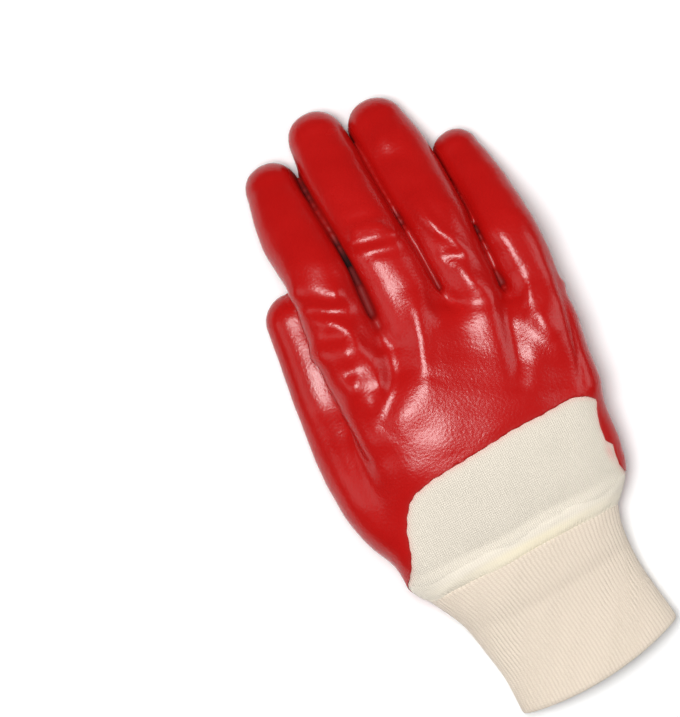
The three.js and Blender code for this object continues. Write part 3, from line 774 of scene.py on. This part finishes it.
wrist_rows = []
for y in np.linspace(CUFF_LENGTH + UNDER_SEAM, HEM_ROUND, 46):
    wrist_rows.append({"y": y, "inset": 0.0, "depth": RIB_DEPTH, "grain": CUFF_LENGTH - y})
for bend in np.linspace(0.15, 0.85, 6) * np.pi:
    wrist_rows.append({"y": HEM_ROUND * (1 - math.sin(bend)), "inset": CUFF_WALL / 2 * (1 - math.cos(bend)),
                       "depth": RIB_DEPTH * 0.7, "grain": CUFF_LENGTH + bend})
for y in np.linspace(HEM_ROUND, CUFF_LENGTH + UNDER_SEAM, 24):
    wrist_rows.append({"y": y, "inset": CUFF_WALL, "depth": -RIB_DEPTH * 0.4, "grain": CUFF_LENGTH + 3 + y})

wrist_count = RIBS * POINTS_PER_RIB
rib_number = np.arange(wrist_count) / POINTS_PER_RIB
wrist_points, wrist_grain = [], []
for row in wrist_rows:
    section = cuff_section(np.array(row["y"]))
    angles = even_angles(section, wrist_count)
    drift = sum(wave["by"] * np.sin(row["y"] / wave["length"] + wave["turns"] * angles)
                for wave in RIB_WANDER)
    phase = rib_number + drift
    uneven = 0.75 + 0.25 * np.sin(row["y"] / 5.3 + 23 * angles) * np.sin(row["y"] / 3.1 - 11 * angles)
    groove = (1 - np.abs(np.sin(np.pi * phase)) ** 0.75) * uneven
    swell = SWELL_HEIGHT * np.sin(row["y"] / 17 + 2 * angles) * np.clip(np.sin(angles), 0, 1)
    tuck = TUCK_DEPTH * np.clip(row["y"] - CUFF_LENGTH - TUCK_START, 0, 1)
    narrowed = NARROWED["by"] * (1 - eased((row["y"] - NARROWED["up_to"]) / NARROWED["fading"]))
    inset = row["inset"] + row["depth"] * groove + narrowed - swell * 0.6 + tuck
    points = ring(section, angles, inset, row["y"])
    points[:, 2] = np.maximum(points[:, 2], 0.02 + 0.12 * groove)
    wrist_points.append(points)
    wrist_grain.append(np.stack([rib_number, np.full(wrist_count, row["grain"])], axis=1))
wrist_points = np.concatenate(wrist_points)
wrist_grain = np.concatenate(wrist_grain)


def wrist_coordinates(corners):
    """Rib number and millimetres along the rib, with the last rib kept whole across the join."""
    found = wrist_grain[corners].copy()
    quads = found.reshape(-1, 4, 2)
    wrapped = quads[:, :, 0].max(axis=1) - quads[:, :, 0].min(axis=1) > RIBS / 2
    low = quads[:, :, 0] < RIBS / 2
    quads[:, :, 0] += np.where(wrapped[:, None] & low, RIBS, 0)
    return found


rib_cotton = cotton("rib_cotton", (0.875, 0.77, 0.645), (0.64, 0.53, 0.425), (1, 1.25, 1), 0.0003)
wrist_faces = tube_faces(len(wrist_rows), wrist_count)
knit_wrist = fabric_piece("ribbed_wrist", wrist_points, wrist_faces, [rib_cotton], wrist_coordinates)
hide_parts("knit_wrist")
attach(knit_wrist, "root")

# Rolled seam: the edges of the rib and of the hand, turned in together and overlocked, make a soft
# round ridge all round the wrist. It is the hand's cotton, yellower from the thread that it is sewn
# with, gathered by the stitches along its lower edge.
SEAM_COUNT = 720
SEAM_INSIDE = -0.3
GATHER_HEIGHT = 0.15
STITCH_PLACE = 0.05
STITCH_REACH = 0.16
SOFT_HEIGHT = 0.15
THREAD = {"x": -4, "wide": 34, "end": 0.74, "fading": 0.4, "strength": 0.75}


def on_level(points, levels):
    """Points moved straight out or in to where the hand's form has their level."""
    for _ in range(4):
        slope = [sampled(hand_field, points + 0.3 * axis) - sampled(hand_field, points - 0.3 * axis)
                 for axis in np.eye(3)]
        slope = np.stack(slope, axis=1) / 0.6
        steep = np.maximum((slope ** 2).sum(axis=1), 0.2)
        step = (sampled(hand_field, points) - levels) / steep
        points = points - slope * np.clip(step, -2, 2)[:, None]
    return points


seam_places = [(place, 0.0) for place in np.linspace(-0.1, 1.25, 36)]
seam_places += [(place, 1.0) for place in np.linspace(1.15, 0.0, 10)]
seam_points, seam_grain, seam_thread = [], [], []
for place, inset in seam_places:
    y = CUFF_LENGTH + place * SEAM_WIDTH
    section = hand_section(np.array(y))
    angles = even_angles(section, SEAM_COUNT)
    points = ring(section, angles, SKIN, y)
    rise = roll_height(points, "seam")
    turn = np.arange(SEAM_COUNT) / SEAM_COUNT * 2 * np.pi
    uneven = 0.6 + 0.4 * np.sin(13 * angles + 1)
    gathers = GATHER_HEIGHT * np.sin(RIBS * turn + 2 * np.sin(5 * angles)) * uneven
    near_stitch = math.exp(-((place - STITCH_PLACE) / STITCH_REACH) ** 2)
    soft = SOFT_HEIGHT * np.sin(9 * angles + 4 * place) * np.sin(4 * angles)
    rise = np.where(inset > 0, SEAM_INSIDE, rise + gathers * near_stitch + soft * (0 < place < 0.7))
    points = on_level(points, rise + fabric_level(points) - inset)
    points[:, 2] = np.maximum(points[:, 2], 0.02)
    seam_points.append(points)
    seam_grain.append(np.stack([np.arange(SEAM_COUNT) * 0.333, np.full(SEAM_COUNT, y)], axis=1))
    aside = (points[:, 0] - THREAD["x"]) / THREAD["wide"]
    middle = np.exp(-aside ** 2) * np.clip(np.sin(angles) * 3, 0, 1)
    fading = eased((THREAD["end"] - place) / THREAD["fading"])
    seam_thread.append(THREAD["strength"] * middle * fading)
seam_points = np.concatenate(seam_points)
seam_grain = np.concatenate(seam_grain)
seam_cotton = cotton("seam_cotton", BACK_LIGHT, BACK_SHADE, (0.9, 1.1, 1), 0.00022)
tinted(seam_cotton, "thread", (0.92, 0.82, 0.6))
wrist_seam = fabric_piece("rolled_seam", seam_points, tube_faces(len(seam_places), SEAM_COUNT)[:, ::-1],
                          [seam_cotton], lambda corners: seam_grain[corners],
                          {"thread": np.concatenate(seam_thread)})
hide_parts("wrist_seam")
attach(wrist_seam, "root")

# Coating: the gloved form is dipped in red PVC and baked. The skin is about a millimetre thick, and
# past the middle of the hand the cotton inside is made as one wall with it. It is glossy with a fine
# orange peel, folded at the fingers' roots, and runs down over the seam in drips on the palm side.
RELIEF = [
    {"name": "index_joint", "flat": True, "width": 5.8, "height": 1.6,
     "path": [(-43, 199.6), (-36.2, 197.2), (-29.6, 192.6)]},
    {"name": "index_crease", "width": 3.4, "height": -1.4,
     "path": [(-44.5, 194), (-36.4, 188.8), (-27.2, 183.4)]},
    {"name": "knuckle_arc", "width": 3.2, "height": 1.1,
     "path": [(-43, 186.6), (-35.4, 181.4), (-31.2, 175.7), (-30.6, 170), (-31.4, 163)]},
    {"name": "knuckle_wedge", "width": 3.0, "height": -0.7,
     "path": [(-43.5, 178.6), (-37.8, 176.6), (-34.5, 173.5)]},
    {"name": "knuckle_crown", "flat": True, "width": 5.2, "height": 1.2,
     "path": [(-46.2, 171.8), (-41, 169.8), (-36.4, 168.8)]},
    {"name": "knuckle_lower_crease", "width": 3.4, "height": -0.9,
     "path": [(-43, 160.4), (-35, 161)]},
    {"name": "index_foot", "flat": True, "width": 6.0, "height": 1.6,
     "path": [(-40, 153), (-35.4, 150.4), (-31, 149.4)]},
    {"name": "index_heel", "width": 4.6, "height": 0.8,
     "path": [(-35.6, 148), (-38.8, 139.6)]},
    {"name": "index_valley", "width": 4.8, "height": -2.1,
     "path": [(-24.3, 168.4), (-19.5, 161), (-22.5, 152.3), (-29, 145.4), (-37, 136)]},
    {"name": "middle_ridge", "width": 3.9, "height": 1.4,
     "path": [(-2.4, 175.6), (-3.6, 168), (-6.4, 159), (-9.8, 151.5), (-12.9, 143)]},
    {"name": "middle_ridge_foot", "width": 8.5, "height": 1.7,
     "path": [(-10, 145), (-18, 138.4), (-27, 134.5), (-36, 131)]},
    {"name": "middle_bar", "flat": True, "width": 2.6, "height": 0.8,
     "path": [(-9.2, 212.2), (-4.5, 211), (0.5, 209)]},
    {"name": "middle_bar_lower", "flat": True, "width": 3.0, "height": 1.2,
     "path": [(-11.8, 207.6), (-4.1, 206), (4, 203.4)]},
    {"name": "middle_crease_upper", "width": 2.8, "height": -0.6,
     "path": [(-10.5, 217.8), (0, 214.6), (6.2, 209.5)]},
    {"name": "middle_crease_lower", "width": 3.0, "height": -1.2,
     "path": [(-12.4, 202.4), (-4.5, 200.2), (3.6, 197)]},
    {"name": "middle_ring_groove", "width": 3.2, "height": -1.0,
     "path": [(9, 180), (6.6, 171), (5, 162)]},
    {"name": "ring_tip_crown", "width": 5.0, "height": 0.9,
     "path": [(15.5, 243.2), (23.5, 241.2)]},
    {"name": "ring_tip_crease", "width": 4.4, "height": -0.9,
     "path": [(13, 235), (20, 233), (28, 230)]},
    {"name": "ring_ridge", "width": 2.8, "height": 1.5,
     "path": [(18.4, 212.5), (19.4, 203), (21.3, 195.4), (25, 189.4), (26.6, 182.6)]},
    {"name": "ring_crease", "width": 2.2, "height": -0.9,
     "path": [(17.6, 185.4), (22, 183.6), (26.6, 181)]},
    {"name": "ring_crown", "width": 3.6, "height": 1.2,
     "path": [(21.8, 180), (23, 174), (24.8, 166.6)]},
    {"name": "ring_root_crease", "width": 4.2, "height": -1.2,
     "path": [(6.5, 170.4), (14.1, 165.5), (22, 161), (28, 158)]},
    {"name": "ring_little_groove", "width": 4.6, "height": -2.0,
     "path": [(34, 163), (30.6, 150.5), (28.6, 142.6), (26, 132), (22, 124)]},
    {"name": "little_crown", "width": 4.0, "height": 1.0,
     "path": [(42.3, 191.7), (43, 184.6), (44.6, 174.7), (45.2, 165.3)]},
    {"name": "little_ridge", "width": 2.6, "height": 0.9,
     "path": [(45, 162), (44.2, 157), (42.5, 154), (39.5, 150)]},
    {"name": "little_foot", "width": 4.6, "height": 1.4,
     "path": [(38, 150), (42, 144.4), (42.5, 138.6), (44, 132)]},
    {"name": "side_crease", "width": 1.9, "height": -0.9,
     "path": [(58.5, 171), (57.5, 158.7), (55, 144.9), (49.5, 123.7), (44, 109)]},
]


def relief_height(points):
    """Height of the folds and creases on the back of the hand above each point."""
    x, y = points[:, 0], points[:, 1]
    height = np.zeros(len(points))
    for fold in RELIEF:
        path = np.array(fold["path"], float)
        best, share = np.full(len(points), 1e9), np.zeros(len(points))
        for i, (a, b) in enumerate(zip(path[:-1], path[1:])):
            edge = b - a
            t = np.clip(((x - a[0]) * edge[0] + (y - a[1]) * edge[1]) / (edge @ edge), 0, 1)
            gap = np.hypot(x - a[0] - t * edge[0], y - a[1] - t * edge[1])
            closer = gap < best
            best[closer], share[closer] = gap[closer], ((i + t) / (len(path) - 1))[closer]
        taper = 0.2 + 0.8 * np.sin(np.pi * np.clip(share, 0.02, 0.98)) ** 0.7
        if fold.get("flat"):
            taper = 0.65 + 0.5 * (2 * share - 1) ** 2
        height += fold["height"] * taper * np.exp(-((best / fold["width"]) ** 2))
    return height


CREASE_REACH = 0.6
INDEX_CREASE_REACH = 1.0
INDEX_CREASE_SIDE = -10
CREASE_DEPTH = 2.2
INDEX_SLOT = {"x": -21, "y": 187, "wide": 7, "long": 13}
SLOT_REACH = 0.9
THUMB_SIDE = -47
THUMB_TOP = 26
PUCKER_HEIGHT = 0.22
FINE_PUCKER_HEIGHT = 0.1
EDGE_WALL = 0.25
SKIN_WALL = 0.65
LINING_WALL = 1.3
coat_points, coat_faces = level_surface(hand_field, 0.0)
coat_points = fitted(coat_points, coat_faces, hand_field, 0.0)
margin = bare_margin(coat_points)
coat_normals = point_normals(coat_points, coat_faces)
facing_up = np.clip(coat_normals[:, 2] * 2.2 + 0.1, 0, 1)
x, y, z = coat_points.T
on_thumb = (x < THUMB_SIDE) & (z < THUMB_TOP)
height = np.where(on_thumb, 0, relief_height(coat_points)) * facing_up
height += PUCKER_HEIGHT * np.sin(x / 8.1 + 0.9 * np.sin(y / 13)) * np.sin(y / 9.7 + z / 12)
height += FINE_PUCKER_HEIGHT * np.sin(x / 3.3 + y / 5.9) * np.sin(y / 3.7 - z / 4.3)
height = height * eased(margin / 5) - 0.1 * (1 - eased(margin / 10)) + roll_height(coat_points, "cover")
# Where fingers touch, the surface is carved down into a groove. The same mask, widened at the slot between
# index and middle, is kept as painted shade for the grooves.
reach = np.where(x < INDEX_CREASE_SIDE, INDEX_CREASE_REACH, CREASE_REACH)
reach = reach + SLOT_REACH * oval(coat_points, INDEX_SLOT)
crease_and_shade = np.exp(-np.clip(sampled(touching, coat_points), 0, None) / reach)
height -= CREASE_DEPTH * crease_and_shade * facing_up
# Painted shade: from here on this mask darkens the coating's colour in the grooves and roughens them.
crease_and_shade = np.clip(1.2 * crease_and_shade, 0, 1)
coat_points = coat_points + coat_normals * height[:, None]
coat_points[:, 2] = np.maximum(coat_points[:, 2], 0.02)
lined = np.clip((y - high_end - 1) / 6, 0, 1)
wall = EDGE_WALL + SKIN_WALL * eased(margin / EDGE_REACH) + LINING_WALL * lined
coat_points, coat_faces, coat_values = trimmed(coat_points, coat_faces, margin,
                                               {"margin": margin, "wall": wall, "crease_and_shade": crease_and_shade})
coat_normals = point_normals(coat_points, coat_faces)
coat_margin = np.tile(coat_values["margin"], 2)
coat_crease_and_shade = np.tile(coat_values["crease_and_shade"], 2)
coat_points, coat_faces, outer_count = shelled(coat_points, coat_faces, coat_values["wall"], coat_normals)

red_pvc = bpy.data.materials.new("red_pvc")
red_pvc.use_nodes = True
tree = red_pvc.node_tree
shader = tree.nodes["Principled BSDF"]
shader.inputs["IOR"].default_value = 1.5
shader.inputs["Specular IOR Level"].default_value = 0.34
place = tree.nodes.new("ShaderNodeTexCoord")
cloud = tree.nodes.new("ShaderNodeTexNoise")
cloud.inputs["Scale"].default_value = 38
cloud.inputs["Detail"].default_value = 5
tree.links.new(place.outputs["Object"], cloud.inputs["Vector"])
tone = tree.nodes.new("ShaderNodeMix")
tone.data_type = "RGBA"
tone.inputs["A"].default_value = (0.38, 0.003, 0.0025, 1)
tone.inputs["B"].default_value = (0.5, 0.006, 0.005, 1)
tree.links.new(cloud.outputs["Fac"], tone.inputs["Factor"])
thin = tree.nodes.new("ShaderNodeAttribute")
thin.attribute_name = "thin"
edge_tone = tree.nodes.new("ShaderNodeMix")
edge_tone.data_type = "RGBA"
edge_tone.inputs["B"].default_value = (0.4, 0.02, 0.018, 1)
tree.links.new(thin.outputs["Fac"], edge_tone.inputs["Factor"])
tree.links.new(tone.outputs["Result"], edge_tone.inputs["A"])
tree.links.new(edge_tone.outputs["Result"], shader.inputs["Base Color"])
# Painted shade: the grooves between the fingers are tinted nearly black by this attribute.
tinted(red_pvc, "crease_and_shade", (0.012, 0.0001, 0.0001))
gloss = tree.nodes.new("ShaderNodeMapRange")
gloss.inputs["To Min"].default_value = 0.2
gloss.inputs["To Max"].default_value = 0.31
tree.links.new(cloud.outputs["Fac"], gloss.inputs["Value"])
dull = tree.nodes.new("ShaderNodeAttribute")
dull.attribute_name = "crease_and_shade"
roughness = math_node(tree, "MULTIPLY_ADD", dull.outputs["Fac"], 0.68, gloss.outputs["Result"])
tree.links.new(roughness, shader.inputs["Roughness"])
peel = tree.nodes.new("ShaderNodeTexNoise")
peel.inputs["Scale"].default_value = 800
peel.inputs["Detail"].default_value = 3
tree.links.new(place.outputs["Object"], peel.inputs["Vector"])
peel_bump = tree.nodes.new("ShaderNodeBump")
peel_bump.inputs["Distance"].default_value = 0.00022
peel_bump.inputs["Strength"].default_value = 0.5
tree.links.new(peel.outputs["Fac"], peel_bump.inputs["Height"])
tree.links.new(peel_bump.outputs["Normal"], shader.inputs["Normal"])

INSIDE_LIGHT, INSIDE_SHADE = (0.9, 0.78, 0.68), (0.68, 0.54, 0.46)
inside_cotton = cotton("inside_cotton", INSIDE_LIGHT, INSIDE_SHADE, (950, 1100, 950), 0.0002, False)
coating = fabric_piece("red_coating", coat_points, coat_faces, [red_pvc, inside_cotton],
                       values={"thin": np.exp(-np.abs(coat_margin) / 0.8), "crease_and_shade": coat_crease_and_shade})
slots = np.zeros(len(coat_faces), int)
slots[outer_count:2 * outer_count] = 1
coating.data.polygons.foreach_set("material_index", slots)
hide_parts("pvc_coating")
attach(coating, "root")
